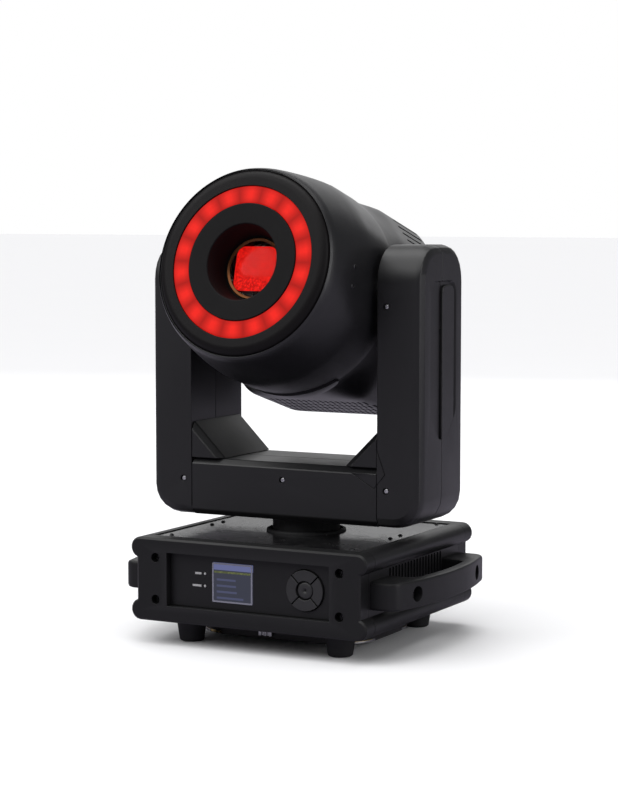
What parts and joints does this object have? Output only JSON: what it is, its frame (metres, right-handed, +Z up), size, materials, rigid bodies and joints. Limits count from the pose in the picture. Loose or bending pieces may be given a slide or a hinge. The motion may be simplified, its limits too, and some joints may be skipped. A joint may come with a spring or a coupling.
{
  "type": "moving head light",
  "caption": "Moving head stage light: a square base with side handles, a U-shaped yoke that pans, and a round-nosed head with a lit ring and a lens that tilts.",
  "frame": {"origin": "where the pan axis meets the flat underside of the base's mounting tray", "axes": "+Z up along the pan axis, -Y out of the base's control panel side, +X to the right of someone facing that panel"},
  "size_m": [0.348, 0.3135, 0.4954],
  "materials": {
    "housing": "satin",
    "paint": "satin",
    "rubber": "matte",
    "steel": "satin",
    "zinc": "satin",
    "dark": "satin",
    "aluminium": "satin",
    "glass": "gloss",
    "screen": "gloss",
    "ring": "satin"
  },
  "bodies": {
    "base": {"base_chassis": "steel", "base_top_plate": "paint", "bottom_tray": "paint", "control_panel": "housing", "data_inlet": "dark", "data_outlet": "dark", "display_window": "screen", "foot_front_left": "rubber", "foot_front_right": "rubber", "foot_rear_left": "rubber", "foot_rear_right": "rubber", "front_frame": "housing", "handle_left": "housing", "handle_right": "housing", "pan_bearing": "steel", "pan_motor": "dark", "power_inlet": "dark", "power_outlet": "dark", "power_supply": "aluminium", "quick_lock_left": "zinc", "quick_lock_right": "zinc", "rear_frame": "housing", "safety_eye": "steel", "side_panel_left": "housing", "side_panel_right": "housing"},
    "yoke": {"pan_shaft": "dark", "yoke_frame": "steel", "crossbar_front_cover": "housing", "crossbar_rear_cover": "housing", "arm_front_cover_left": "housing", "arm_front_cover_right": "housing", "arm_rear_cover_left": "housing", "arm_rear_cover_right": "housing", "gusset_left": "housing", "gusset_right": "housing", "tilt_motor": "dark", "tilt_belt": "rubber"},
    "head": {"front_barrel": "housing", "front_bezel": "housing", "led_ring_diffuser": "ring", "lens_well": "housing", "front_lens": "glass", "rear_housing_top": "housing", "rear_housing_bottom": "housing", "optical_chassis": "steel", "led_engine": "aluminium", "tilt_axle_left": "steel", "tilt_axle_right": "steel"},
    "button_up_body": {"button_up": "rubber"},
    "button_down_body": {"button_down": "rubber"},
    "button_left_body": {"button_left": "rubber"},
    "button_right_body": {"button_right": "rubber"},
    "button_enter_body": {"button_enter": "rubber"},
    "pan_pinion_body": {"pan_pinion": "steel"},
    "tilt_pinion_body": {"tilt_pinion": "steel"},
    "colour_wheel_body": {"colour_wheel": "glass"},
    "gobo_wheel_body": {"gobo_wheel": "aluminium"},
    "focus_carriage_body": {"focus_carriage": "dark"},
    "fan_rotor_body": {"fan_rotor": "dark"}
  },
  "joints": [
    {"name": "pan", "type": "hinge", "parent": "base", "child": "yoke", "pos_m": [0, 0, 0.1135], "axis": [0, 0, 1], "range_deg": [-270, 270]},
    {"name": "tilt", "type": "hinge", "parent": "yoke", "child": "head", "pos_m": [0, 0, 0.3565], "axis": [1, 0, 0], "range_deg": [-209.5, 60.5]},
    {"name": "button_up_press", "type": "slide", "parent": "base", "child": "button_up_body", "axis": [0, 1, 0], "range_m": [0, 0.001], "stiffness_N_per_m": 300},
    {"name": "button_down_press", "type": "slide", "parent": "base", "child": "button_down_body", "axis": [0, 1, 0], "range_m": [0, 0.001], "stiffness_N_per_m": 300},
    {"name": "button_left_press", "type": "slide", "parent": "base", "child": "button_left_body", "axis": [0, 1, 0], "range_m": [0, 0.001], "stiffness_N_per_m": 300},
    {"name": "button_right_press", "type": "slide", "parent": "base", "child": "button_right_body", "axis": [0, 1, 0], "range_m": [0, 0.001], "stiffness_N_per_m": 300},
    {"name": "button_enter_press", "type": "slide", "parent": "base", "child": "button_enter_body", "axis": [0, 1, 0], "range_m": [0, 0.001], "stiffness_N_per_m": 300},
    {"name": "pan_pinion_spin", "type": "hinge", "parent": "base", "child": "pan_pinion_body", "pos_m": [0, 0.0576, 0.074], "axis": [0, 0, 1], "continuous": true},
    {"name": "tilt_pinion_spin", "type": "hinge", "parent": "yoke", "child": "tilt_pinion_body", "pos_m": [0.1445, 0, 0.255], "axis": [1, 0, 0], "continuous": true},
    {"name": "colour_wheel_spin", "type": "hinge", "parent": "head", "child": "colour_wheel_body", "pos_m": [-0.027, 0.02167, 0.37851], "axis": [0, -0.9636, 0.2672], "continuous": true},
    {"name": "gobo_wheel_spin", "type": "hinge", "parent": "head", "child": "gobo_wheel_body", "pos_m": [0.027, 0.01203, 0.38118], "axis": [0, -0.9636, 0.2672], "continuous": true},
    {"name": "focus_travel", "type": "slide", "parent": "head", "child": "focus_carriage_body", "axis": [0, -0.9636, 0.2672], "range_m": [-0.02, 0.02]},
    {"name": "fan_spin", "type": "hinge", "parent": "head", "child": "fan_rotor_body", "pos_m": [0, 0.11034, 0.3259], "axis": [0, -0.9636, 0.2672], "continuous": true}
  ],
  "couplings": [
    {"joint": "pan_pinion_spin", "follows": "pan", "ratio": -5.1613},
    {"joint": "tilt_pinion_spin", "follows": "tilt", "ratio": 4.5}
  ]
}
